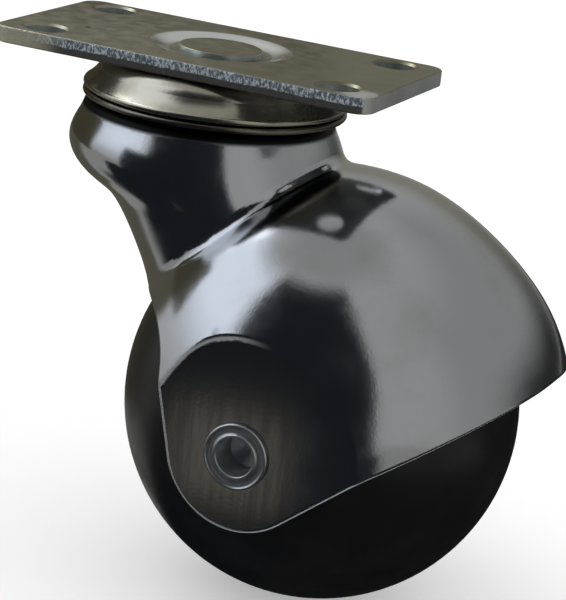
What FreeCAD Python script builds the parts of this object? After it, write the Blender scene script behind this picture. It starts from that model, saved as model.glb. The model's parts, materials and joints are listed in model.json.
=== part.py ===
import FreeCAD, Part
import math
import os

from FreeCAD import Vector

# Swivel ball castor with a cast hood, in millimetres.
# The origin is the centre of the mounting plate's top face, on the swivel axis.
# +Z is up, +X is the way that the wheel trails, and the axle lies along Y.

# Main sizes
ball_radius = 25.4
swivel_lead = 19.5
crown_headroom = 4.55

# Mounting plate
plate_length = 51.6
plate_width = 27.4
plate_thickness = 2.1
plate_corner_radius = 2.5
plate_edge_round = 0.25
hole_to_end = 5.7
hole_to_side = 4.1
hole_radius = 2.7
hole_chamfer = 0.3
dimple_radius = 9.6
dimple_floor_radius = 6.1
dimple_depth = 0.8

# King pin, a shouldered rivet whose flat head lies in the plate's dimple
pin_head_radius = 5.3
pin_head_below_face = 0.05
pin_tenon_radius = 3.0
pin_shoulder_radius = 4.2
pin_tail_radius = 4.6
pin_tail_height = 1.3
pin_edge_round = 0.15
drive_gap = 0.02

# Upper bearing: pressed cup under the plate, ball row, ring on the hood
cup_wall = 1.0
cup_location_clearance = 0.3
cup_top_radius = 12.8
cup_waist_radius = 15.2
cup_waist_drop = 1.8
cup_rim_radius = 16.95
cup_rim_drop = 3.85
cup_bead_radius = 0.42
upper_ball_radius = 1.5
upper_ball_count = 16
upper_row_radius = 12.6
ball_clearance = 0.05
groove_margin = 0.06
groove_depth = 0.35
ring_thickness = 1.75
ring_inner_radius = 9.6
ring_shoulder_radius = 14.2
ring_rim_radius = 16.95
ring_bead_radius = 0.42
ring_seat_step = 0.2

# Lower bearing: ball row under the hood's deck, cup on the king pin
lower_ball_radius = 1.25
lower_ball_count = 12
lower_row_radius = 7.4
lower_cup_wall = 1.2
lower_cup_shelf = 0.6
lower_cup_lip_height = 1.3
lower_cup_lip_width = 0.9

# Hood, a thin-walled casting
hood_wall = 1.6
cheek_wall = 1.4
cheek_round = 2.0
ball_room = 0.6
front_crown_gap = 1.7
top_crown_gap = 5.45
haunch_crown_gap = 5.2
rear_crown_gap = 6.65
crown_side_bulge = 3.6
deck_thickness = 3.0
deck_bore_clearance = 0.4
neck_wall = 2.4
neck_top_radius = 16.0
neck_top_x = -0.9
neck_drum_radius = 17.9
neck_drum_height = 6.6
neck_foot_radius = 17.0
neck_foot_setback = 6.1
neck_foot_rise = 5.4
neck_shoulder_round = 1.6
crease_round = 1.8
rim_round = 0.5

# Lower edge of the hood, measured from the axle
lobe_radius = 9.6
lobe_centre_x = 0.1
lobe_centre_z = -0.1
front_edge_rise = 13.3
front_corner_round = 7.0
cheek_front_lean_deg = 14.0
tail_slope_deg = 39.5
tail_bend_x = 14.3
tail_bend_round = 26.0
tail_end_slope_deg = 33.0
tail_tip_x = 29.7
tail_tip_round = 2.5
tail_tip_turn_deg = 32.0

# Wheel, axle and bushes
wheel_flat_depth = 1.0
wheel_edge_round = 0.3
bush_outer_radius = 4.3
bush_length = 12.0
bush_flange_radius = 5.0
bush_flange_thickness = 1.0
bush_running_clearance = 0.07
axle_radius = 3.175
axle_bore_radius = 2.4
axle_bore_depth = 4.5
axle_flange_radius = 4.15
axle_flange_height = 0.75
axle_groove_radius = 3.5
axle_groove_depth = 0.3
axle_lip_radius = 2.85
washer_thickness = 0.5
washer_outer_radius = 6.2
washer_bore_clearance = 0.12
washer_side_clearance = 0.15

# Levels and centres that follow from the sizes above
hole_spacing_x = plate_length - 2 * hole_to_end
hole_spacing_y = plate_width - 2 * hole_to_side
plate_under = -plate_thickness
cup_ceiling = plate_under - cup_wall
upper_row_z = cup_ceiling - ball_clearance - upper_ball_radius
upper_groove_radius = upper_ball_radius + groove_margin
ring_top = upper_row_z - upper_ball_radius - ball_clearance + groove_depth
ring_seat = ring_top - ring_thickness
deck_top = ring_seat
deck_under = deck_top - deck_thickness
lower_groove_radius = lower_ball_radius + groove_margin
lower_row_z = deck_under + groove_depth - ball_clearance - lower_ball_radius
lower_cup_top = lower_row_z - lower_ball_radius - ball_clearance + groove_depth
lower_cup_under = lower_cup_top - lower_cup_wall
lower_cup_inner_radius = lower_row_radius + lower_groove_radius + lower_cup_shelf
lower_cup_outer_radius = lower_cup_inner_radius + lower_cup_lip_width
front_crown_radius = ball_radius + front_crown_gap
top_crown_radius = ball_radius + top_crown_gap
haunch_crown_radius = ball_radius + haunch_crown_gap
rear_crown_radius = ball_radius + rear_crown_gap
axle_z = deck_top - crown_headroom - top_crown_radius
ball_centre = Vector(swivel_lead, 0, axle_z)
wheel_face = ball_radius - wheel_flat_depth
cheek_inner_face = wheel_face + washer_thickness + 2 * washer_side_clearance
cheek_face = cheek_inner_face + cheek_wall
cheek_share = cheek_face / (cheek_face + crown_side_bulge)
bush_bore_radius = axle_radius + bush_running_clearance
neck_drum_foot = deck_top - neck_drum_height
neck_foot_z = axle_z + neck_foot_rise
neck_foot_x = swivel_lead - neck_foot_setback

X_AXIS = Vector(1, 0, 0)
Y_AXIS = Vector(0, 1, 0)
Z_AXIS = Vector(0, 0, 1)
ORIGIN = Vector(0, 0, 0)


def export(name, shape):
    """Write one named piece, after checking that it is a sound solid."""
    if shape.ShapeType == "Compound" and len(shape.Solids) == 1:
        shape = shape.Solids[0]
    if not shape.isValid() or len(shape.Solids) != 1 or shape.Volume <= 0:
        raise ValueError(f"{name} is not one sound solid")
    shape.exportStep(f"parts/{name}.step")
    print(f"{name}: {shape.Volume:.1f} mm3")


def cylinder_z(radius, low, high, x=0.0, y=0.0):
    """Upright cylinder between two levels."""
    return Part.makeCylinder(radius, high - low, Vector(x, y, low), Z_AXIS)


def turned(edges, axis_point, axis):
    """Solid turned from a closed profile of edges."""
    face = Part.Face(Part.Wire(edges))
    return face.revolve(axis_point, axis, 360)


def line(a, b):
    return Part.makeLine(a, b)


def arc(a, middle, b):
    return Part.Arc(a, middle, b).toShape()


def torus_z(ring_radius, tube_radius, z):
    """Ring-shaped cutter for a ball groove."""
    return Part.makeTorus(ring_radius, tube_radius, Vector(0, 0, z), Z_AXIS)


def dished_disc(top, thickness):
    """The plate's central dimple as a turned disc, its top face at the given level."""
    shoulder = dimple_radius
    floor = dimple_floor_radius
    half = (shoulder + floor) / 2
    sag = top - dimple_depth
    mid = top - dimple_depth / 2
    quarter_in = (floor + half) / 2
    quarter_out = (shoulder + half) / 2
    bend = dimple_depth * 0.1
    upper = [
        arc(Vector(shoulder, 0, top), Vector(quarter_out, 0, top - bend), Vector(half, 0, mid)),
        arc(Vector(half, 0, mid), Vector(quarter_in, 0, sag + bend), Vector(floor, 0, sag)),
    ]
    down = Vector(0, 0, -thickness)
    lower = [edge.translated(down) for edge in upper]
    edges = [
        *upper,
        line(Vector(floor, 0, sag), Vector(0, 0, sag)),
        line(Vector(0, 0, sag), Vector(0, 0, sag) + down),
        line(Vector(0, 0, sag) + down, Vector(floor, 0, sag) + down),
        *reversed(lower),
        line(Vector(shoulder, 0, top) + down, Vector(shoulder, 0, top)),
    ]
    return turned(Part.__sortEdges__(edges), ORIGIN, Z_AXIS)


def make_mounting_plate():
    """Sheared steel plate with four screw holes and a dimple for the king pin's head."""
    plate = Part.makeBox(
        plate_length, plate_width, plate_thickness,
        Vector(-plate_length / 2, -plate_width / 2, plate_under),
    )
    corners = [e for e in plate.Edges if abs(e.tangentAt(e.FirstParameter).z) > 0.99]
    plate = plate.makeFillet(plate_corner_radius, corners)
    rims = [e for e in plate.Edges if abs(e.BoundBox.ZLength) < 1e-6]
    plate = plate.makeFillet(plate_edge_round, rims)
    plate = plate.cut(cylinder_z(dimple_radius, plate_under, 0))
    plate = plate.fuse(dished_disc(0, plate_thickness)).removeSplitter()
    for sx in (-1, 1):
        for sy in (-1, 1):
            x = sx * hole_spacing_x / 2
            y = sy * hole_spacing_y / 2
            plate = plate.cut(cylinder_z(hole_radius, plate_under - 1, 1, x, y))
            wide = hole_radius + hole_chamfer
            sink = Part.makeCone(hole_radius, wide, hole_chamfer, Vector(x, y, -hole_chamfer), Z_AXIS)
            plate = plate.cut(sink)
    tenon_hole = cylinder_z(pin_tenon_radius + drive_gap, plate_under - dimple_depth - 1, 1)
    return plate.cut(tenon_hole)


def make_king_pin():
    """Shouldered rivet: flat head, tenon, shoulder, lower tenon and clenched tail."""
    head_top = -pin_head_below_face
    head_under = -dimple_depth
    shoulder_top = plate_under - dimple_depth
    pin = cylinder_z(pin_head_radius, head_under, head_top)
    pin = pin.fuse(cylinder_z(pin_tenon_radius, shoulder_top, head_under))
    pin = pin.fuse(cylinder_z(pin_shoulder_radius, lower_cup_top, shoulder_top))
    pin = pin.fuse(cylinder_z(pin_tenon_radius, lower_cup_under, lower_cup_top))
    tail = cylinder_z(pin_tail_radius, lower_cup_under - pin_tail_height, lower_cup_under)
    low_rim = [e for e in tail.Edges if abs(e.BoundBox.ZMax - tail.BoundBox.ZMin) < 1e-6]
    tail = tail.makeFillet(pin_tail_height * 0.7, low_rim)
    pin = pin.fuse(tail).removeSplitter()
    top_rim = [
        e for e in pin.Edges
        if abs(e.BoundBox.ZMin - head_top) < 1e-6 and e.BoundBox.XLength > 2 * pin_head_radius - 1e-3
    ]
    return pin.makeFillet(pin_edge_round, top_rim)


def make_upper_race_cup():
    """Pressed cup fixed under the plate: flat top, sloping flank and a rolled rim."""
    bore = dimple_radius + cup_location_clearance
    top = plate_under
    bead = cup_bead_radius
    bead_mid = Vector(cup_rim_radius - bead, 0, plate_under - cup_rim_drop)
    waist = Vector(cup_waist_radius, 0, plate_under - cup_waist_drop)
    shoulder = Vector(cup_top_radius, 0, top)
    shoulder_mid = shoulder + (waist - shoulder) * 0.5 + Vector(0.24, 0, 0.3)
    bead_top = bead_mid + Vector(bead * 0.35, 0, bead * 0.94)
    flank_mid = waist + (bead_top - waist) * 0.5 + Vector(-0.06, 0, -0.06)
    bead_foot = bead_mid - Vector(0, 0, bead)
    inner_rim = bead_mid - Vector(bead, 0, bead * 0.2)
    inner_waist = waist - Vector(cup_wall * 0.85, 0, cup_wall * 0.5)
    inner_shoulder = shoulder - Vector(-0.1, 0, cup_wall)
    inner_mid = inner_shoulder + (inner_waist - inner_shoulder) * 0.5 + Vector(0.25, 0, 0.25)
    edges = [
        line(Vector(bore, 0, top), shoulder),
        arc(shoulder, shoulder_mid, waist),
        arc(waist, flank_mid, bead_top),
        arc(bead_top, bead_mid + Vector(bead, 0, 0), bead_foot),
        arc(bead_foot, bead_mid - Vector(bead * 0.8, 0, bead * 0.6), inner_rim),
        line(inner_rim, inner_waist),
        arc(inner_waist, inner_mid, inner_shoulder),
        line(inner_shoulder, Vector(bore, 0, cup_ceiling)),
        line(Vector(bore, 0, cup_ceiling), Vector(bore, 0, top)),
    ]
    return turned(edges, ORIGIN, Z_AXIS)


def make_race_ring():
    """Pressed ring seated on the hood, with the lower groove of the upper ball row."""
    bead = ring_bead_radius
    flange_under = ring_seat + ring_seat_step
    bead_mid = Vector(ring_rim_radius - bead, 0, flange_under + bead)
    bead_top = bead_mid + Vector(0, 0, bead)
    bead_foot = bead_mid - Vector(0, 0, bead)
    shoulder = Vector(ring_shoulder_radius, 0, ring_top)
    slope_mid = shoulder + (bead_top - shoulder) * 0.5 - Vector(0.03, 0, 0.05)
    seat_radius = ring_shoulder_radius - bead
    edges = [
        line(Vector(ring_inner_radius, 0, ring_top), shoulder),
        arc(shoulder, slope_mid, bead_top),
        arc(bead_top, bead_mid + Vector(bead, 0, 0), bead_foot),
        line(bead_foot, Vector(seat_radius, 0, flange_under)),
        line(Vector(seat_radius, 0, flange_under), Vector(seat_radius, 0, ring_seat)),
        line(Vector(seat_radius, 0, ring_seat), Vector(ring_inner_radius, 0, ring_seat)),
        line(Vector(ring_inner_radius, 0, ring_seat), Vector(ring_inner_radius, 0, ring_top)),
    ]
    ring = turned(edges, ORIGIN, Z_AXIS)
    return ring.cut(torus_z(upper_row_radius, upper_groove_radius, upper_row_z))


def make_lower_race_cup():
    """Pressed cup held on the king pin, with the lower groove of the lower ball row."""
    cup = cylinder_z(lower_cup_outer_radius, lower_cup_under, lower_cup_top + lower_cup_lip_height)
    cup = cup.cut(cylinder_z(lower_cup_inner_radius, lower_cup_top, lower_cup_top + lower_cup_lip_height))
    low_rim = [
        e for e in cup.Edges
        if abs(e.BoundBox.ZMax - lower_cup_under) < 1e-6
    ]
    cup = cup.makeFillet(lower_cup_wall * 0.6, low_rim)
    cup = cup.cut(cylinder_z(pin_tenon_radius + drive_gap, lower_cup_under - 1, lower_cup_top + 1))
    return cup.cut(torus_z(lower_row_radius, lower_groove_radius, lower_row_z))


def ball_row(prefix, count, radius, row_radius, z):
    """Bearing balls evenly spaced on a circle, each one a piece of its own."""
    row = {}
    for k in range(count):
        angle = 2 * math.pi * k / count
        centre = Vector(row_radius * math.cos(angle), row_radius * math.sin(angle), z)
        row[f"{prefix}_{k + 1:02d}"] = Part.makeSphere(radius, centre)
    return row


def crown_radius(angle_deg):
    """Outer radius of the hood's crown about the axle, 0 degrees to the rear and 90 up."""
    stations = [
        (-30.0, rear_crown_radius),
        (18.0, rear_crown_radius),
        (58.0, haunch_crown_radius),
        (84.0, top_crown_radius),
        (100.0, top_crown_radius),
        (150.0, front_crown_radius),
        (210.0, front_crown_radius),
    ]
    for (a0, r0), (a1, r1) in zip(stations, stations[1:]):
        if angle_deg <= a1:
            t = max(0.0, (angle_deg - a0) / (a1 - a0))
            return r0 + (r1 - r0) * t * t * (3 - 2 * t)
    return front_crown_radius


def crown_section(angle_deg, offset, face, corner_round):
    """Closed wire of the crown in the plane at one angle about the axle.

    The section is an arc that meets the flat cheek in a rounded corner.
    """
    radius = crown_radius(angle_deg)
    wall = min(offset, radius - ball_radius - ball_room)
    flat = radius * math.sqrt(1 - cheek_share ** 2)
    rise = radius - flat
    arc_radius = (cheek_face ** 2 + rise ** 2) / (2 * rise)
    arc_centre = radius - arc_radius
    arc_radius -= wall
    inner = arc_radius - corner_round
    corner_y = face - corner_round
    corner_r = arc_centre + math.sqrt(inner ** 2 - corner_y ** 2)
    share = arc_radius / inner
    touch_r = arc_centre + (corner_r - arc_centre) * share
    touch_y = corner_y * share
    lean = math.atan2(corner_y, corner_r - arc_centre)
    half_turn = (math.pi / 2 + lean) / 2
    mid_r = corner_r + corner_round * math.cos(half_turn)
    mid_y = corner_y + corner_round * math.sin(half_turn)
    a = math.radians(angle_deg)

    def at(r, y):
        return ball_centre + Vector(r * math.cos(a), y, r * math.sin(a))

    low = corner_r / 2
    edges = [
        line(at(low, -face), at(corner_r, -face)),
        arc(at(corner_r, -face), at(mid_r, -mid_y), at(touch_r, -touch_y)),
        arc(at(touch_r, -touch_y), at(arc_centre + arc_radius, 0), at(touch_r, touch_y)),
        arc(at(touch_r, touch_y), at(mid_r, mid_y), at(corner_r, face)),
        line(at(corner_r, face), at(low, face)),
        line(at(low, face), at(low, -face)),
    ]
    return Part.Wire(edges)


def crown_solid(offset, face, corner_round, first_deg, last_deg, steps):
    """The hood's crown swept about the axle, with its flat cheeks and their hub discs."""
    turn = (last_deg - first_deg) / steps
    sections = [
        crown_section(first_deg + turn * k, offset, face, corner_round)
        for k in range(steps + 1)
    ]
    crown = Part.makeLoft(sections, True, False)
    hub_radius = front_crown_radius * math.sqrt(1 - cheek_share ** 2) - corner_round
    hub = Part.makeCylinder(hub_radius, 2 * face, ball_centre - Y_AXIS * face, Y_AXIS)
    return crown.fuse(hub)


def neck_solid(shrink):
    """The neck as a loft of circles: an upright drum that sweeps back to the wheel as it goes down."""
    drum = [
        (0.00, 1.0, 0.00),
        (0.46, 0.6, 0.54),
        (1.00, 0.0, 1.00),
    ]
    sweep = [
        (0.07, 0.07, 0.2),
        (0.18, 0.32, 1.0),
        (0.36, 0.60, 1.0),
        (0.57, 0.81, 1.0),
        (0.79, 0.94, 1.0),
        (1.00, 1.00, 1.0),
    ]
    circles = []
    for down, shift, widening in drum:
        radius = neck_top_radius + (neck_drum_radius - neck_top_radius) * widening
        circles.append((deck_top - neck_drum_height * down, neck_top_x * shift, radius))
    drop = neck_drum_foot - neck_foot_z
    for down, back, narrowing in sweep:
        radius = neck_drum_radius + (neck_foot_radius - neck_drum_radius) * narrowing
        circles.append((neck_drum_foot - drop * down, neck_foot_x * back, radius))
    wires = [
        Part.Wire([Part.Circle(Vector(x, 0, z), Z_AXIS, r - shrink).toShape()])
        for z, x, r in circles
    ]
    return Part.makeLoft(wires, True, False)


def lies_on(edge, surface):
    """Whether an edge's inner points all lie on a shape's skin."""
    span = edge.LastParameter - edge.FirstParameter
    points = [edge.valueAt(edge.FirstParameter + span * share) for share in (0.2, 0.5, 0.8)]
    return all(surface.distToShape(Part.Vertex(p))[0] < 1e-3 for p in points)


def polar(angle, length=1.0):
    """Vector in the XZ plane at an angle from +X towards +Z."""
    return Vector(length * math.cos(angle), 0, length * math.sin(angle))


def rim_cutter():
    """Everything below the hood's lower edge, as a prism across the whole width."""
    half_width = cheek_face + crown_side_bulge
    reach = 2 * rear_crown_radius
    slope = math.radians(tail_slope_deg)
    along = polar(slope)
    lobe_centre = Vector(lobe_centre_x, 0, lobe_centre_z)
    lobe_end = lobe_centre + polar(slope - math.pi / 2, lobe_radius)
    bend = lobe_end + along * ((tail_bend_x - lobe_end.x) / along.x)
    exit_slope = math.radians(tail_end_slope_deg)
    bend_centre = bend + polar(slope - math.pi / 2, tail_bend_round)
    bend_mid = bend_centre + polar((slope + exit_slope + math.pi) / 2, tail_bend_round)
    bend_end = bend_centre + polar(exit_slope + math.pi / 2, tail_bend_round)
    tip_start = bend_end + polar(exit_slope) * ((tail_tip_x - bend_end.x) / math.cos(exit_slope))
    turn = math.radians(tail_tip_turn_deg)
    tip_centre = tip_start + polar(exit_slope + math.pi / 2, tail_tip_round)
    tip_mid = tip_centre + polar(exit_slope - math.pi / 2 + turn / 2, tail_tip_round)
    tip_end = tip_centre + polar(exit_slope - math.pi / 2 + turn, tail_tip_round)
    far_tail = tip_end + polar(exit_slope + turn, reach)
    lean = math.pi + math.radians(cheek_front_lean_deg)
    outward = polar(lean)
    lobe_start = lobe_centre + outward * lobe_radius
    lobe_low = lobe_centre + polar(math.radians(250), lobe_radius)
    corner_z = front_edge_rise - front_corner_round
    corner_off = lobe_radius + front_corner_round - (corner_z - lobe_centre_z) * outward.z
    corner_centre = Vector(lobe_centre_x + corner_off / outward.x, 0, corner_z)
    corner_start = corner_centre + Vector(0, 0, front_corner_round)
    corner_mid = corner_centre + polar((math.pi / 2 + lean - math.pi) / 2, front_corner_round)
    corner_end = corner_centre - outward * front_corner_round
    edges = [
        line(Vector(-reach, 0, front_edge_rise), corner_start),
        arc(corner_start, corner_mid, corner_end),
        line(corner_end, lobe_start),
        arc(lobe_start, lobe_low, lobe_end),
        line(lobe_end, bend),
        arc(bend, bend_mid, bend_end),
        line(bend_end, tip_start),
        arc(tip_start, tip_mid, tip_end),
        line(tip_end, far_tail),
        line(far_tail, Vector(far_tail.x, 0, -reach)),
        line(Vector(far_tail.x, 0, -reach), Vector(-reach, 0, -reach)),
        line(Vector(-reach, 0, -reach), Vector(-reach, 0, front_edge_rise)),
    ]
    wire = Part.Wire(edges)
    wire.translate(ball_centre - Y_AXIS * half_width)
    return Part.Face(wire).extrude(Y_AXIS * 2 * half_width)


def hood_outside():
    """Outer skin of the hood: crown and neck, blended along their crease."""
    crown = crown_solid(0.0, cheek_face, cheek_round, -28.0, 208.0, 16)
    neck = neck_solid(0.0)
    skin = crown.fuse(neck).removeSplitter().Solids[0]
    neck_side = Part.Compound([f for f in neck.Faces if f.BoundBox.ZLength > 1])
    crown_side = Part.Compound(crown.Faces)
    crease = [e for e in skin.Edges if lies_on(e, neck_side) and lies_on(e, crown_side)]
    skin = skin.makeFillet(crease_round, crease)
    shoulder = [
        e for e in skin.Edges
        if abs(e.BoundBox.ZMin - deck_top) < 1e-3 and e.BoundBox.ZLength < 1e-3
    ]
    return skin.makeFillet(neck_shoulder_round, shoulder)


def hood_hollow():
    """The space inside the hood: room for the wheel, and the neck's pocket under the deck."""
    room = crown_solid(hood_wall, cheek_inner_face, cheek_round / 2, -32.0, 212.0, 16)
    pocket = neck_solid(neck_wall).cut(cylinder_z(neck_drum_radius, deck_under, deck_top + 1))
    return room.fuse(pocket)


def trimmed_hood():
    """The hood's outside cut to its lower edge, with the edge rounded."""
    skin = hood_outside()
    below = rim_cutter()
    skin_side = Part.Compound(skin.Faces)
    cut_side = Part.Compound(below.Faces)
    hood = skin.cut(below)
    rim = [e for e in hood.Edges if lies_on(e, cut_side) and lies_on(e, skin_side)]
    return hood.makeFillet(rim_round, rim)


def make_hood():
    """Cast hood: neck, crown over the wheel, flat cheeks and the deck between the ball rows."""
    hood = trimmed_hood().cut(hood_hollow())
    hood = hood.cut(cylinder_z(pin_shoulder_radius + deck_bore_clearance, deck_under - 1, deck_top + 1))
    hood = hood.cut(torus_z(lower_row_radius, lower_groove_radius, lower_row_z))
    reach = cheek_face + 1
    axle_hole = Part.makeCylinder(axle_radius + drive_gap, 2 * reach, ball_centre - Y_AXIS * reach, Y_AXIS)
    return hood.cut(axle_hole)


def turned_about_axle(points, mirror=1):
    """Solid turned about the axle from a closed outline of (radius, distance along the axle) points."""
    corners = [ball_centre + Vector(0, mirror * y, r) for r, y in points]
    face = Part.Face(Part.makePolygon([*corners, corners[0]]))
    return face.revolve(ball_centre, Y_AXIS, 360)


def make_axle():
    """Rivet through both cheeks: each end is drilled, and rolled over into a thin dished flange."""
    crest = cheek_face + axle_flange_height
    edge = axle_flange_height * 0.35
    cone = axle_bore_radius * 0.6

    def at(r, y):
        return ball_centre + Vector(0, y, r)

    def end_outline(side):
        """Open outline of one end, from the shank to the middle of the drilled hole."""
        seat = side * cheek_face
        rim = side * (crest - axle_flange_height * 0.15)
        groove = side * (crest - axle_groove_depth)
        lip = side * crest
        inner_lip = axle_bore_radius + (axle_lip_radius - axle_bore_radius) * 0.3
        floor = side * (crest - axle_bore_depth)
        outer = axle_flange_radius
        return [
            line(at(axle_radius, seat), at(outer, seat)),
            line(at(outer, seat), at(outer, rim - side * edge)),
            arc(
                at(outer, rim - side * edge),
                at(outer - edge * 0.29, rim - side * edge * 0.29),
                at(outer - edge, rim),
            ),
            arc(
                at(outer - edge, rim),
                at(axle_groove_radius, groove),
                at(axle_lip_radius, lip - side * edge * 0.5),
            ),
            arc(
                at(axle_lip_radius, lip - side * edge * 0.5),
                at((axle_lip_radius + inner_lip) / 2, lip),
                at(axle_bore_radius, lip - side * edge),
            ),
            line(at(axle_bore_radius, lip - side * edge), at(axle_bore_radius, floor)),
            line(at(axle_bore_radius, floor), at(0, floor - side * cone)),
        ]

    inner = crest - axle_bore_depth - cone
    edges = [
        *end_outline(1),
        line(at(0, inner), at(0, -inner)),
        *end_outline(-1),
        line(at(axle_radius, -cheek_face), at(axle_radius, cheek_face)),
    ]
    return turned(Part.__sortEdges__(edges), ball_centre, Y_AXIS)


def make_ball_wheel():
    """Ball wheel: a sphere with flats where it meets the washers, bored and counterbored for bushes."""
    wheel = Part.makeSphere(ball_radius, ball_centre, Y_AXIS)
    slab = Part.makeCylinder(
        ball_radius + 1, 2 * wheel_face, ball_centre - Y_AXIS * wheel_face, Y_AXIS,
    )
    wheel = wheel.common(slab)
    rims = [
        e for e in wheel.Edges
        if abs(abs(e.BoundBox.YMax) - wheel_face) < 1e-3 and e.BoundBox.YLength < 1e-3
    ]
    wheel = wheel.makeFillet(wheel_edge_round, rims)
    reach = ball_radius + 1
    wheel = wheel.cut(
        Part.makeCylinder(bush_outer_radius, 2 * reach, ball_centre - Y_AXIS * reach, Y_AXIS)
    )
    for side in (-1, 1):
        floor = side * (wheel_face - bush_flange_thickness)
        sink = Part.makeCylinder(
            bush_flange_radius, bush_flange_thickness + 1, ball_centre + Y_AXIS * floor, Y_AXIS * side,
        )
        wheel = wheel.cut(sink)
    return wheel


def make_bush(side):
    """Flanged bush pressed into one end of the wheel's bore."""
    face = wheel_face
    points = [
        (bush_bore_radius, face - bush_length),
        (bush_outer_radius, face - bush_length),
        (bush_outer_radius, face - bush_flange_thickness),
        (bush_flange_radius, face - bush_flange_thickness),
        (bush_flange_radius, face),
        (bush_bore_radius, face),
    ]
    return turned_about_axle(points, side)


def make_thrust_washer(side):
    """Thin washer between the wheel's end and one cheek."""
    low = wheel_face + washer_side_clearance
    points = [
        (axle_radius + washer_bore_clearance, low),
        (washer_outer_radius, low),
        (washer_outer_radius, low + washer_thickness),
        (axle_radius + washer_bore_clearance, low + washer_thickness),
    ]
    return turned_about_axle(points, side)


def all_pieces():
    """Every piece of the castor by name."""
    pieces = {
        "mounting_plate": make_mounting_plate(),
        "king_pin": make_king_pin(),
        "upper_race_cup": make_upper_race_cup(),
        "lower_race_cup": make_lower_race_cup(),
        "hood": make_hood(),
        "race_ring": make_race_ring(),
        "axle": make_axle(),
        "ball_wheel": make_ball_wheel(),
    }
    for name, side in (("front", -1), ("back", 1)):
        pieces[f"thrust_washer_{name}"] = make_thrust_washer(side)
        pieces[f"wheel_bush_{name}"] = make_bush(side)
    rows = [
        ("upper_ball", upper_ball_count, upper_ball_radius, upper_row_radius, upper_row_z),
        ("lower_ball", lower_ball_count, lower_ball_radius, lower_row_radius, lower_row_z),
    ]
    for row in rows:
        pieces.update(ball_row(*row))
    return pieces


if __name__ == "__main__":
    os.makedirs("parts", exist_ok=True)
    for name, shape in all_pieces().items():
        export(name, shape)
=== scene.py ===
import json
import math

import bpy
from mathutils import Matrix, Vector


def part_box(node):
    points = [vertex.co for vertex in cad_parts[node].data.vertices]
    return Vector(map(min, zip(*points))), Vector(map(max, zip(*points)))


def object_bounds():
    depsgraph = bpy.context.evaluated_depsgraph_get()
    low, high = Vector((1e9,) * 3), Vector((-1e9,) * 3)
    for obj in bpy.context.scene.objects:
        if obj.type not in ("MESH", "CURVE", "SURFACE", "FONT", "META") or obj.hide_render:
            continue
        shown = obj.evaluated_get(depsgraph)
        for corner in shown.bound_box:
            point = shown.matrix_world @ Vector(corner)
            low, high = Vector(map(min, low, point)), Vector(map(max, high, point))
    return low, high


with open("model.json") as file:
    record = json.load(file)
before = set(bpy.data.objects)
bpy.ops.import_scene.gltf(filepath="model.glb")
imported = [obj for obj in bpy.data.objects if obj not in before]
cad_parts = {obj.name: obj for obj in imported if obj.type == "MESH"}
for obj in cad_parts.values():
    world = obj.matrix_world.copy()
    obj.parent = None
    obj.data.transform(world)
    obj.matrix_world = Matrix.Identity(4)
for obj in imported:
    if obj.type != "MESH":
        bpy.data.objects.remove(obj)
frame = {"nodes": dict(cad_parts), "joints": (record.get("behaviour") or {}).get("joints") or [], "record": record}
cad_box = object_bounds()
nodes = frame["nodes"]

MM = 0.001

# The photograph's camera
CAMERA_AZIMUTH = math.radians(21.68)
CAMERA_ELEVATION = math.radians(16.43)
CAMERA_ROLL = math.radians(6.85)
CAMERA_DISTANCE = 328.2 * MM
CAMERA_RIGHT = 11.62 * MM
CAMERA_UP = -31.04 * MM
FOCAL_PIXELS = 2587.0
FRAME_HEIGHT = 600
SENSOR_WIDTH = 36.0

# Places on the part, from its nodes
PLATE_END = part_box("mounting_plate")[1].x
PLATE_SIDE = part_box("mounting_plate")[1].y
PIN_HEAD_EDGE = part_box("king_pin")[1].x
CUP_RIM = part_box("upper_race_cup")[0].z
RING_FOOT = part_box("race_ring")[0].z
NECK_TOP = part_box("hood")[1].z
CHEEK_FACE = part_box("hood")[1].y
AXLE = next(Vector(joint["pos_m"]) for joint in frame["joints"] if joint["name"] == "wheel_spin")
FLOOR = cad_box[0].z

# Wear, finish, and painted light and shade on the part
DIMPLE_EDGE = PIN_HEAD_EDGE + 4.3 * MM
LIT_TO_SHADED_REACH = 18.0 * MM
BLANKED_DEPTH = 0.8 * MM
SHEARED_FROM = PLATE_SIDE - 0.8 * MM
TORN_FROM = -PLATE_END + 8.8 * MM
ENDS_FROM = PLATE_END - 1.8 * MM
SCUFFED_CORNER = (PLATE_END - 2.2 * MM, -PLATE_SIDE + 2.3 * MM)
PIT = (-PLATE_END + 9.0 * MM, -PLATE_SIDE + 9.3 * MM)
CUP_FOOT = CUP_RIM - 0.03 * MM
RING_SHADE_LINE = RING_FOOT + 0.3 * MM
NECK_SHADE_LINE = NECK_TOP - 1.3 * MM
LINISH_AND_REFLECTION_TO = AXLE.x + 6.5 * MM
CRISP_TO = AXLE.x - 2.5 * MM
LIP_HIGHLIGHT_TOP = AXLE.z + 17.0 * MM
STREAKS_ACROSS = 700.0
STREAKS_ALONG = 60.0

# Studio
STUDIO_CENTRE = Vector((6.0, 0.0, -35.0)) * MM
ROOM_LIGHT = 0.9
FLOOR_LIFT = 0.35
FLOOR_HALF = 4.0
MAT_STEP = 0.1 * MM
OLIVE_DISTANCE = 60 * MM
OLIVE_JOIN = -18 * MM
OLIVE_TOP = 16 * MM
OLIVE_LAP = 0.5 * MM
BROWN_DISTANCE = 72 * MM
BROWN_TOP = -51.5 * MM


def camera_axes():
    """Level, upright, right, up and back directions of the photograph's camera."""
    a, e, roll = CAMERA_AZIMUTH, CAMERA_ELEVATION, CAMERA_ROLL
    back = Vector((math.sin(a) * math.cos(e), -math.cos(a) * math.cos(e), math.sin(e)))
    level = Vector((math.cos(a), math.sin(a), 0.0))
    upright = back.cross(level)
    right = level * math.cos(roll) + upright * math.sin(roll)
    up = upright * math.cos(roll) - level * math.sin(roll)
    return level, upright, right, up, back


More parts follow.
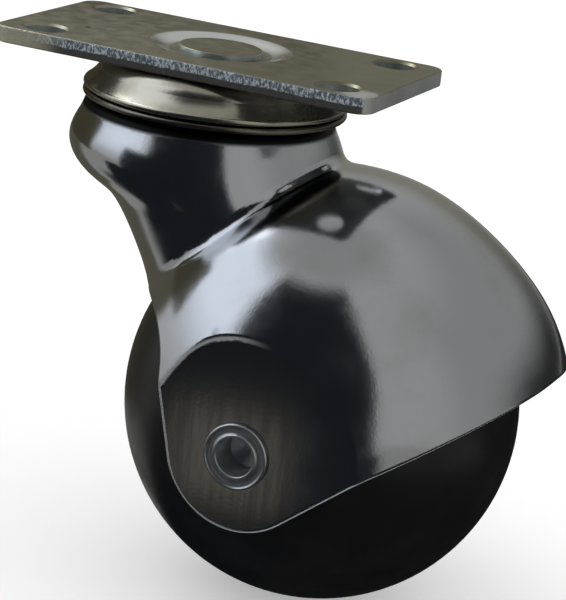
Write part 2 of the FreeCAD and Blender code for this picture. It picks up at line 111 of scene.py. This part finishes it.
def make_camera():
    level, upright, right, up, back = camera_axes()
    data = bpy.data.cameras.new("camera")
    data.sensor_width = SENSOR_WIDTH
    data.lens = FOCAL_PIXELS * SENSOR_WIDTH / FRAME_HEIGHT
    data.clip_start = 0.01
    data.clip_end = 50.0
    cam = bpy.data.objects.new("camera", data)
    bpy.context.scene.collection.objects.link(cam)
    place = back * CAMERA_DISTANCE + level * CAMERA_RIGHT + upright * CAMERA_UP
    turn = Matrix((right, up, back)).transposed().to_4x4()
    cam.matrix_world = Matrix.Translation(place) @ turn
    bpy.context.scene.camera = cam


# Materials

class Graph:
    """Short names for the shader nodes of one material."""

    def __init__(self, name):
        self.material = bpy.data.materials.new(name)
        self.material.use_nodes = True
        self.tree = self.material.node_tree
        self.tree.nodes.clear()
        self.shader = self.add("ShaderNodeBsdfPrincipled")
        output = self.add("ShaderNodeOutputMaterial")
        self.link(self.shader.outputs[0], output.inputs["Surface"])
        self.place = self.add("ShaderNodeTexCoord").outputs["Object"]

    def add(self, kind, **settings):
        node = self.tree.nodes.new(kind)
        for key, value in settings.items():
            setattr(node, key, value)
        return node

    def link(self, source, target):
        self.tree.links.new(source, target)

    def put(self, socket, value):
        if isinstance(value, bpy.types.NodeSocket):
            self.link(value, socket)
        else:
            socket.default_value = value

    def set(self, name, value):
        self.put(self.shader.inputs[name], value)

    def noise(self, scale, detail=3.0, rough=0.5, vector=None):
        node = self.add("ShaderNodeTexNoise")
        self.link(vector or self.place, node.inputs["Vector"])
        node.inputs["Scale"].default_value = scale
        node.inputs["Detail"].default_value = detail
        node.inputs["Roughness"].default_value = rough
        return node.outputs["Fac"]

    def math(self, kind, a, b=0.0, clamp=False):
        node = self.add("ShaderNodeMath", operation=kind, use_clamp=clamp)
        for socket, value in zip(node.inputs, (a, b)):
            self.put(socket, value)
        return node.outputs[0]

    def absolute(self, value):
        return self.math("ABSOLUTE", value)

    def product(self, first, *others):
        for other in others:
            first = self.math("MULTIPLY", first, other)
        return first

    def distance(self, x, y, centre=(0.0, 0.0)):
        """Distance of a point from an upright line through the centre."""
        x = self.math("SUBTRACT", x, centre[0])
        y = self.math("SUBTRACT", y, centre[1])
        squares = self.math("ADD", self.product(x, x), self.product(y, y))
        return self.math("SQRT", squares)

    def remap(self, value, low, high, to_low=0.0, to_high=1.0):
        node = self.add("ShaderNodeMapRange", interpolation_type="SMOOTHSTEP")
        for socket, item in zip(node.inputs, (value, low, high, to_low, to_high)):
            self.put(socket, item)
        return node.outputs[0]

    def mix(self, factor, a, b):
        """A colour between a and b."""
        node = self.add("ShaderNodeMix", data_type="RGBA")
        self.put(node.inputs["Factor"], factor)
        self.put(node.inputs[6], a)
        self.put(node.inputs[7], b)
        return node.outputs[2]

    def blend(self, factor, a, b):
        """A number between a and b."""
        node = self.add("ShaderNodeMix", data_type="FLOAT")
        self.put(node.inputs["Factor"], factor)
        self.put(node.inputs[2], a)
        self.put(node.inputs[3], b)
        return node.outputs[0]

    def bump(self, height, distance, strength, normal=None):
        node = self.add("ShaderNodeBump")
        node.inputs["Distance"].default_value = distance
        node.inputs["Strength"].default_value = strength
        self.link(height, node.inputs["Height"])
        if normal is not None:
            self.link(normal, node.inputs["Normal"])
        return node.outputs[0]

    def separate(self, vector):
        node = self.add("ShaderNodeSeparateXYZ")
        self.link(vector, node.inputs[0])
        return node.outputs

    def combine(self, x, y, z):
        node = self.add("ShaderNodeCombineXYZ")
        for socket, value in zip(node.inputs, (x, y, z)):
            self.put(socket, value)
        return node.outputs[0]

    def facing(self):
        """The surface's own direction in the part's frame."""
        return self.separate(self.add("ShaderNodeTexCoord").outputs["Normal"])


def rgb(r, g, b):
    return (r, g, b, 1.0)


def linished_cheek_and_reflection(g, x, away, sideways):
    """The flat cheek as far as it was linished; its warm tint there is partly a painted reflection."""
    on_face = g.remap(away, CHEEK_FACE - 0.08 * MM, CHEEK_FACE - 0.02 * MM)
    flat = g.remap(sideways, 0.985, 0.999)
    ahead = g.remap(x, LINISH_AND_REFLECTION_TO + 3.0 * MM, LINISH_AND_REFLECTION_TO)
    return g.product(on_face, flat, ahead)


def rim_highlights(g, x, z, away, sideways, down):
    """Painted highlight along the hood's lower lip, and at half strength along the front of the cheek's crisp
    edge.
    """
    low = g.remap(z, LIP_HIGHLIGHT_TOP, LIP_HIGHLIGHT_TOP - 4.0 * MM)
    lip = g.product(low, g.remap(down, -0.35, -0.7))
    near_face = g.remap(away, CHEEK_FACE - 0.16 * MM, CHEEK_FACE - 0.05 * MM)
    rounded = g.remap(sideways, 0.997, 0.985)
    front = g.remap(x, CRISP_TO + 6.0 * MM, CRISP_TO)
    crisp = g.product(near_face, rounded, front)
    return g.math("MAXIMUM", lip, g.product(crisp, 0.5))


def chrome_material():
    """Chrome plate, linished on the flat cheeks in a warm tint that is partly a painted reflection, with a painted
    highlight along the lower edge and painted shade under the race.
    """
    g = Graph("hood_chrome")
    x, y, z = g.separate(g.place)
    facing = g.facing()
    away = g.absolute(y)
    sideways = g.absolute(facing[1])
    linish_and_reflection = linished_cheek_and_reflection(g, x, away, sideways)
    # painted highlight: the lower lip and the cheek's front edge made pale and less metallic
    rim_highlight = rim_highlights(g, x, z, away, sideways, facing[2])
    # painted shade: the neck's top, in the gap under the race ring, made near-black and duller
    gap_shade = g.remap(z, NECK_SHADE_LINE - 0.4 * MM, NECK_SHADE_LINE + 0.2 * MM)
    upright = g.combine(g.product(x, STREAKS_ACROSS), y, g.product(z, STREAKS_ALONG))
    streak = g.noise(scale=1.0, detail=4.0, rough=0.6, vector=upright)

    haze = g.remap(g.noise(scale=90.0, detail=4.0, rough=0.6), 0.45, 0.75)
    plain = g.mix(haze, rgb(0.60, 0.61, 0.625), rgb(0.53, 0.535, 0.54))
    # linished streaks in a warm grey, which is partly a painted reflection
    linished_reflection_colour = g.mix(g.remap(streak, 0.35, 0.65), rgb(0.58, 0.57, 0.54), rgb(0.47, 0.46, 0.44))
    colour = g.mix(linish_and_reflection, plain, linished_reflection_colour)
    # painted highlight on the lower lip and the cheek's front edge
    colour = g.mix(rim_highlight, colour, rgb(0.82, 0.83, 0.85))
    # painted shade in the gap under the race ring
    g.set("Base Color", g.mix(gap_shade, colour, rgb(0.02, 0.02, 0.018)))
    g.set("Metallic", g.blend(rim_highlight, 1.0, 0.45))

    smudge = g.remap(g.noise(scale=160.0, detail=5.0, rough=0.65), 0.40, 0.72, 0.12, 0.19)
    rough = g.blend(linish_and_reflection, smudge, g.remap(streak, 0.3, 0.7, 0.15, 0.22))
    rough = g.blend(rim_highlight, rough, 0.42)
    g.set("Roughness", g.blend(gap_shade, rough, 0.5))

    wave = g.bump(g.noise(scale=75.0, detail=1.0, rough=0.4), distance=0.12 * MM, strength=0.25)
    grain = g.noise(scale=2400.0, detail=3.0, rough=0.7)
    g.set("Normal", g.bump(grain, distance=0.012 * MM, strength=0.6, normal=wave))
    return g.material


def race_material():
    """Nickel plate: a bright cup, a tarnished ring below it and painted shade at the ring's foot."""
    g = Graph("race_plate")
    g.set("Metallic", 1.0)
    z = g.separate(g.place)[2]
    tone = g.remap(g.noise(scale=140.0, detail=4.0, rough=0.6), 0.4, 0.7)
    clean = g.mix(tone, rgb(0.60, 0.56, 0.46), rgb(0.45, 0.41, 0.31))
    tarnished = g.mix(tone, rgb(0.26, 0.245, 0.20), rgb(0.16, 0.15, 0.12))
    ring = g.remap(z, CUP_FOOT + 0.05 * MM, CUP_FOOT - 0.1 * MM)
    # painted shade: the ring's foot made near-black, in the gap above the hood
    gap_shade = g.remap(z, RING_SHADE_LINE + 0.15 * MM, RING_SHADE_LINE - 0.1 * MM)
    colour = g.mix(ring, clean, tarnished)
    g.set("Base Color", g.mix(gap_shade, colour, rgb(0.015, 0.015, 0.013)))
    shine = g.remap(g.noise(scale=300.0, detail=4.0, rough=0.6), 0.4, 0.7, 0.22, 0.30)
    g.set("Roughness", g.blend(ring, shine, 0.3))
    grain = g.noise(scale=1500.0, detail=3.0, rough=0.6)
    g.set("Normal", g.bump(grain, distance=0.02 * MM, strength=0.5))
    return g.material


def plate_face(g, x, y, burnished, mottle):
    """Olive-grey with painted light and shade, paler at the left and darker at the right, bright in the dimple and
    at a scuffed corner, with one dark pit.
    """
    # painted light and shade: a paler left and a darker right, blended across the plate
    left = g.mix(mottle, rgb(0.46, 0.445, 0.34), rgb(0.40, 0.385, 0.29))
    right = g.mix(mottle, rgb(0.31, 0.29, 0.19), rgb(0.26, 0.245, 0.16))
    face = g.mix(g.remap(x, -LIT_TO_SHADED_REACH, LIT_TO_SHADED_REACH), left, right)
    face = g.mix(burnished, face, rgb(0.94, 0.95, 0.93))
    uneven = g.product(g.noise(scale=900.0, detail=4.0, rough=0.7), 3.0 * MM)
    ragged = g.math("ADD", g.distance(x, y, SCUFFED_CORNER), uneven)
    face = g.mix(g.remap(ragged, 4.6 * MM, 3.0 * MM), face, rgb(0.80, 0.80, 0.76))
    pit = g.remap(g.distance(x, y, PIT), 0.45 * MM, 0.25 * MM)
    return g.mix(pit, face, rgb(0.03, 0.02, 0.015))


def sheared_side(g, x, z, ticks, face):
    """A smooth band above a torn one, which the left end of the side doesn't show."""
    torn = g.mix(ticks, rgb(0.13, 0.16, 0.18), rgb(0.62, 0.68, 0.74))
    uneven = g.product(g.noise(scale=700.0, detail=3.0, rough=0.6), 0.5 * MM)
    depth = g.math("ADD", z, uneven)
    band = g.remap(depth, -BLANKED_DEPTH - 0.15 * MM, -BLANKED_DEPTH)
    sheared = g.mix(band, rgb(0.08, 0.078, 0.074), torn)
    from_end = g.math("ADD", x, g.product(g.noise(scale=300.0, detail=2.0), 6.0 * MM))
    return g.mix(g.remap(from_end, TORN_FROM, TORN_FROM + 5.0 * MM), face, sheared)


def plate_material():
    """Satin plate: olive-grey, burnished in the dimple, sheared along its long sides, bare in its holes."""
    g = Graph("plate_steel")
    x, y, z = g.separate(g.place)
    nx, ny, nz = g.facing()
    mottle = g.remap(g.noise(scale=120.0, detail=5.0, rough=0.65), 0.35, 0.7)
    along = g.combine(x, y, g.product(z, 0.5))
    ticks = g.remap(g.noise(scale=3600.0, detail=3.0, rough=0.75, vector=along), 0.44, 0.62)

    reach = g.distance(x, y)
    inside = g.remap(reach, DIMPLE_EDGE + 0.6 * MM, DIMPLE_EDGE - 0.6 * MM)
    outside = g.remap(reach, PIN_HEAD_EDGE + 0.3 * MM, PIN_HEAD_EDGE + 1.1 * MM)
    burnished = g.product(inside, outside, g.remap(nz, 0.998, 0.985))
    outer = g.remap(g.absolute(y), SHEARED_FROM, SHEARED_FROM + 0.3 * MM)
    side = g.product(outer, g.remap(g.absolute(ny), 0.45, 0.75))
    beyond = g.remap(g.absolute(x), ENDS_FROM, ENDS_FROM + 0.3 * MM)
    end = g.product(beyond, g.remap(g.absolute(nx), 0.6, 0.85))
    under = g.remap(nz, -0.6, -0.8)
    wall = g.remap(g.absolute(nz), 0.6, 0.3)
    bare = g.math("SUBTRACT", wall, g.math("MAXIMUM", side, end), clamp=True)

    face = plate_face(g, x, y, burnished, mottle)
    colour = g.mix(side, face, sheared_side(g, x, z, ticks, face))
    colour = g.mix(end, colour, g.mix(mottle, rgb(0.36, 0.37, 0.36), rgb(0.29, 0.30, 0.29)))
    colour = g.mix(bare, colour, g.mix(mottle, rgb(0.50, 0.54, 0.52), rgb(0.24, 0.27, 0.26)))
    g.set("Base Color", g.mix(under, colour, rgb(0.30, 0.32, 0.32)))
    g.set("Metallic", g.blend(wall, 1.0, g.blend(bare, 0.55, 0.8)))

    rough = g.remap(g.noise(scale=400.0, detail=4.0, rough=0.6), 0.35, 0.7, 0.32, 0.44)
    rough = g.blend(burnished, rough, 0.24)
    g.set("Roughness", g.blend(side, rough, 0.38))
    grain = g.noise(scale=1800.0, detail=3.0, rough=0.6)
    fine = g.bump(grain, distance=0.02 * MM, strength=0.3)
    tearing = g.product(ticks, side)
    g.set("Normal", g.bump(tearing, distance=0.08 * MM, strength=0.5, normal=fine))
    return g.material


def rivet_material():
    """Bright rivet steel, slightly dulled."""
    g = Graph("rivet_steel")
    g.set("Metallic", 0.97)
    tone = g.remap(g.noise(scale=500.0, detail=4.0, rough=0.6), 0.4, 0.7)
    g.set("Base Color", g.mix(tone, rgb(0.74, 0.76, 0.76), rgb(0.58, 0.60, 0.60)))
    dull = g.noise(scale=700.0, detail=4.0, rough=0.6)
    g.set("Roughness", g.remap(dull, 0.4, 0.7, 0.30, 0.40))
    return g.material


def nylon_material(name, colour, dark):
    """Plain plastic of the washers and bushes."""
    g = Graph(name)
    g.set("Base Color", g.mix(g.noise(scale=300.0, detail=4.0), colour, dark))
    g.set("Roughness", g.remap(g.noise(scale=500.0), 0.3, 0.7, 0.4, 0.55))
    return g.material


def ball_material():
    """Smooth black tread with a trace of dust."""
    g = Graph("ball_tread")
    dust = g.remap(g.noise(scale=90.0, detail=5.0, rough=0.6), 0.4, 0.8)
    g.set("Base Color", g.mix(dust, rgb(0.006, 0.006, 0.0065), rgb(0.011, 0.011, 0.0115)))
    gloss = g.noise(scale=240.0, detail=4.0, rough=0.6)
    g.set("Roughness", g.remap(gloss, 0.35, 0.7, 0.28, 0.38))
    g.set("Specular IOR Level", 0.4)
    grain = g.noise(scale=1400.0, detail=2.0, rough=0.5)
    g.set("Normal", g.bump(grain, distance=0.01 * MM, strength=0.3))
    return g.material


def bearing_material():
    """Polished bearing balls."""
    g = Graph("bearing_steel")
    g.set("Metallic", 1.0)
    tone = g.remap(g.noise(scale=600.0), 0.4, 0.7)
    g.set("Base Color", g.mix(tone, rgb(0.58, 0.58, 0.58), rgb(0.5, 0.5, 0.49)))
    g.set("Roughness", g.remap(g.noise(scale=900.0), 0.4, 0.7, 0.05, 0.12))
    return g.material


def dress_nodes():
    """Give every CAD node its own finish."""
    made = {
        "hood_chrome": chrome_material(),
        "race_plate": race_material(),
        "plate_steel": plate_material(),
        "rivet_steel": rivet_material(),
        "washer_plastic": nylon_material("washer_plastic", rgb(0.62, 0.6, 0.54), rgb(0.5, 0.48, 0.42)),
        "bush_plastic": nylon_material("bush_plastic", rgb(0.6, 0.6, 0.55), rgb(0.5, 0.49, 0.45)),
        "ball_tread": ball_material(),
        "bearing_steel": bearing_material(),
    }
    for part in frame["record"]["subparts"]:
        mesh = nodes[part["node"]].data
        mesh.materials.clear()
        mesh.materials.append(made[part["material_slot"]])


# Studio cards

def direction(azimuth_deg, elevation_deg):
    """Unit vector, its azimuth counted from the photograph's camera towards its right."""
    a = math.radians(azimuth_deg) + CAMERA_AZIMUTH
    e = math.radians(elevation_deg)
    return Vector((math.sin(a) * math.cos(e), -math.cos(a) * math.cos(e), math.sin(e)))


def steps_between(ends, count):
    """Evenly spaced values from one end to the other."""
    return [ends[0] + (ends[1] - ends[0]) * i / count for i in range(count + 1)]


def edge_fades(tree, sides, foot, head):
    """Shares that fall to nothing over a card's sides, foot and head."""
    uv = tree.nodes.new("ShaderNodeUVMap")
    parts = tree.nodes.new("ShaderNodeSeparateXYZ")
    tree.links.new(uv.outputs[0], parts.inputs[0])
    along, up = parts.outputs[0], parts.outputs[1]
    fades = []
    for place, edge, full in ((along, 0, sides), (along, 1, 1 - sides), (up, 0, foot), (up, 1, 1 - head)):
        if edge == full:
            continue
        fade = tree.nodes.new("ShaderNodeMapRange")
        fade.interpolation_type = "SMOOTHSTEP"
        tree.links.new(place, fade.inputs["Value"])
        fade.inputs["From Min"].default_value = edge
        fade.inputs["From Max"].default_value = full
        fades.append(fade.outputs[0])
    return fades


def glow_material(name, colour, strength=1.0, sides=0.0, foot=0.0, head=0.0):
    """Even glow, which fades to nothing over the given shares at the card's sides, foot and head."""
    material = bpy.data.materials.new(name)
    material.use_nodes = True
    tree = material.node_tree
    tree.nodes.clear()
    glow = tree.nodes.new("ShaderNodeEmission")
    glow.inputs["Color"].default_value = colour
    glow.inputs["Strength"].default_value = strength
    output = tree.nodes.new("ShaderNodeOutputMaterial")
    fades = edge_fades(tree, sides, foot, head)
    if not fades:
        tree.links.new(glow.outputs[0], output.inputs["Surface"])
        return material
    share = fades[0]
    for fade in fades[1:]:
        both = tree.nodes.new("ShaderNodeMath")
        both.operation = "MULTIPLY"
        tree.links.new(share, both.inputs[0])
        tree.links.new(fade, both.inputs[1])
        share = both.outputs[0]
    clear = tree.nodes.new("ShaderNodeBsdfTransparent")
    blend = tree.nodes.new("ShaderNodeMixShader")
    tree.links.new(share, blend.inputs[0])
    tree.links.new(clear.outputs[0], blend.inputs[1])
    tree.links.new(glow.outputs[0], blend.inputs[2])
    tree.links.new(blend.outputs[0], output.inputs["Surface"])
    return material


def reflected_sheet(name, rows, material):
    """A studio card through rows of points, which shows in reflections and nowhere else."""
    across = len(rows[0])
    verts = [point for row in rows for point in row]
    faces = []
    for i in range(len(rows) - 1):
        for j in range(across - 1):
            k = i * across + j
            faces.append((k, k + 1, k + across + 1, k + across))
    mesh = bpy.data.meshes.new(name)
    mesh.from_pydata(verts, [], faces)
    layer = mesh.uv_layers.new(name="card")
    for loop in mesh.loops:
        i, j = divmod(loop.vertex_index, across)
        layer.data[loop.index].uv = (i / (len(rows) - 1), j / (across - 1))
    mesh.materials.append(material)
    obj = bpy.data.objects.new(name, mesh)
    bpy.context.scene.collection.objects.link(obj)
    obj.visible_camera = False
    obj.visible_diffuse = False
    obj.visible_shadow = False
    obj.visible_transmission = False


def dome_card(name, azimuths, elevations, radius, material):
    """A card curved round the object, azimuths from the camera and elevations in degrees."""
    rows = [
        [STUDIO_CENTRE + direction(az, el) * radius for el in steps_between(elevations, 24)]
        for az in steps_between(azimuths, 24)
    ]
    reflected_sheet(name, rows, material)


def mat_card(name, azimuths, radius, layer, material):
    """A card that lies on the floor, a sector of a disc round the object."""
    foot = Vector((STUDIO_CENTRE.x, STUDIO_CENTRE.y, FLOOR + layer * MAT_STEP))
    rows = [
        [foot + direction(az, 0.0) * r for r in (0.0, radius / 2, radius)]
        for az in steps_between(azimuths, 24)
    ]
    reflected_sheet(name, rows, material)


def upright_card(name, bearings, heights, radius, material):
    """An upright card curved round the swivel axis, bearings in degrees from +X."""
    rows = []
    for bearing in steps_between(bearings, 16):
        turn = math.radians(bearing)
        rows.append([Vector((radius * math.cos(turn), radius * math.sin(turn), z)) for z in heights])
    reflected_sheet(name, rows, material)


def make_tent():
    """An even grey tent all round, duller behind and at one side."""
    tent = glow_material("tent_grey", rgb(0.40, 0.405, 0.40))
    side = glow_material("tent_side_grey", rgb(0.31, 0.315, 0.31), sides=0.25, head=0.3)
    back = glow_material("tent_back_grey", rgb(0.25, 0.245, 0.21), sides=0.25, head=0.5)
    ceiling = glow_material("ceiling_grey", rgb(0.32, 0.325, 0.32), foot=0.5)
    dome_card("tent", azimuths=(-180, 180), elevations=(-6, 90), radius=1.2, material=tent)
    dome_card("tent_side", azimuths=(40, 170), elevations=(-6, 66), radius=1.1, material=side)
    dome_card("tent_back", azimuths=(140, 215), elevations=(-6, 34), radius=1.0, material=back)
    dome_card("ceiling", azimuths=(-180, 180), elevations=(66, 90), radius=1.0, material=ceiling)


def make_table():
    """A grey table under the tent, dark close to the object and towards the camera."""
    table = glow_material("table_grey", rgb(0.30, 0.30, 0.29))
    shade = glow_material("table_shade", rgb(0.02, 0.02, 0.02), sides=0.06, head=0.3)
    front = glow_material("floor_dark", rgb(0.012, 0.014, 0.018))
    mat_card("table", azimuths=(-180, 180), radius=1.2, layer=1, material=table)
    mat_card("table_shade", azimuths=(-106, 170), radius=0.12, layer=2, material=shade)
    mat_card("table_shade_side", azimuths=(90, 170), radius=0.40, layer=3, material=shade)
    mat_card("table_shade_front", azimuths=(-86, 22), radius=0.31, layer=4, material=front)


def make_flags():
    """Dark flags in front and low at one side, and three small coloured cards near the object."""
    dark = glow_material("flag_dark", rgb(0.012, 0.014, 0.018), sides=0.06, head=0.12)
    low = glow_material("low_dark", rgb(0.03, 0.03, 0.03), sides=0.35, head=0.75)
    olive = glow_material("flag_olive", rgb(0.055, 0.050, 0.028), sides=0.05)
    low_olive = glow_material("flag_olive_low", rgb(0.10, 0.095, 0.07), sides=0.1)
    brown = glow_material("card_brown", rgb(0.135, 0.13, 0.115), sides=0.25, head=0.35)
    dome_card("flag_left", azimuths=(-71, -46), elevations=(-10, 28), radius=0.31, material=dark)
    dome_card("flag_front", azimuths=(-52, 20), elevations=(-10, 70), radius=0.30, material=dark)
    dome_card("low_dark", azimuths=(72, 172), elevations=(-6, 24), radius=0.40, material=low)
    upright_card("flag_olive_low", (95, 187), (FLOOR, OLIVE_JOIN), OLIVE_DISTANCE, low_olive)
    upright_card("flag_olive", (95, 201), (OLIVE_JOIN - OLIVE_LAP, OLIVE_TOP), OLIVE_DISTANCE, olive)
    upright_card("card_brown", (260, 279), (FLOOR, BROWN_TOP), BROWN_DISTANCE, brown)


def make_softbox():
    """A window-like softbox at the left, with a hotter patch in it."""
    bright = glow_material("softbox", rgb(0.82, 0.89, 1.0), 1.2, sides=0.16, foot=0.5, head=0.2)
    hot = glow_material("softbox_hot", rgb(0.95, 0.98, 1.0), 7.0, sides=0.45, foot=0.45, head=0.45)
    dome_card("softbox_left", azimuths=(-144, -48), elevations=(-4, 70), radius=0.45, material=bright)
    dome_card("softbox_spot", azimuths=(-148, -112), elevations=(34, 66), radius=0.44, material=hot)


# Floor and room

def background_rays(tree):
    """One for what the camera sees straight, or through a mirror or glass, and nothing for other light."""
    path = tree.nodes.new("ShaderNodeLightPath")
    share = path.outputs["Is Camera Ray"]
    for ray in ("Is Glossy Ray", "Is Transmission Ray"):
        either = tree.nodes.new("ShaderNodeMath")
        either.operation = "MAXIMUM"
        tree.links.new(share, either.inputs[0])
        tree.links.new(path.outputs[ray], either.inputs[1])
        share = either.outputs[0]
    return share


def floor_material():
    """White paint, lifted to white for background rays beside the object's shadow."""
    material = bpy.data.materials.new("floor")
    material.use_nodes = True
    tree = material.node_tree
    tree.nodes.clear()
    paint = tree.nodes.new("ShaderNodeBsdfDiffuse")
    paint.inputs["Color"].default_value = rgb(0.8, 0.8, 0.8)
    lift = tree.nodes.new("ShaderNodeEmission")
    lift.inputs["Color"].default_value = rgb(1.0, 1.0, 1.0)
    share = tree.nodes.new("ShaderNodeMath")
    share.operation = "MULTIPLY"
    tree.links.new(background_rays(tree), share.inputs[0])
    share.inputs[1].default_value = FLOOR_LIFT
    tree.links.new(share.outputs[0], lift.inputs["Strength"])
    total = tree.nodes.new("ShaderNodeAddShader")
    tree.links.new(paint.outputs[0], total.inputs[0])
    tree.links.new(lift.outputs[0], total.inputs[1])
    output = tree.nodes.new("ShaderNodeOutputMaterial")
    tree.links.new(total.outputs[0], output.inputs["Surface"])
    return material


def make_floor():
    """Pale floor that reads white beside the object's shadow."""
    far = FLOOR_HALF
    mesh = bpy.data.meshes.new("floor")
    corners = [(-far, -far, FLOOR), (far, -far, FLOOR), (far, far, FLOOR), (-far, far, FLOOR)]
    mesh.from_pydata(corners, [], [(0, 1, 2, 3)])
    mesh.materials.append(floor_material())
    floor = bpy.data.objects.new("floor", mesh)
    bpy.context.scene.collection.objects.link(floor)


def make_world():
    """Even room light, and white where the camera looks past the object."""
    world = bpy.data.worlds.new("world")
    bpy.context.scene.world = world
    world.use_nodes = True
    tree = world.node_tree
    tree.nodes.clear()
    room = tree.nodes.new("ShaderNodeBackground")
    room.inputs["Color"].default_value = rgb(ROOM_LIGHT, ROOM_LIGHT, ROOM_LIGHT)
    white = tree.nodes.new("ShaderNodeBackground")
    white.inputs["Color"].default_value = rgb(1.0, 1.0, 1.0)
    blend = tree.nodes.new("ShaderNodeMixShader")
    output = tree.nodes.new("ShaderNodeOutputWorld")
    tree.links.new(background_rays(tree), blend.inputs[0])
    tree.links.new(room.outputs[0], blend.inputs[1])
    tree.links.new(white.outputs[0], blend.inputs[2])
    tree.links.new(blend.outputs[0], output.inputs[0])


bpy.context.scene.view_settings.view_transform = "Standard"
make_camera()
dress_nodes()
make_world()
make_floor()
make_tent()
make_table()
make_flags()
make_softbox()
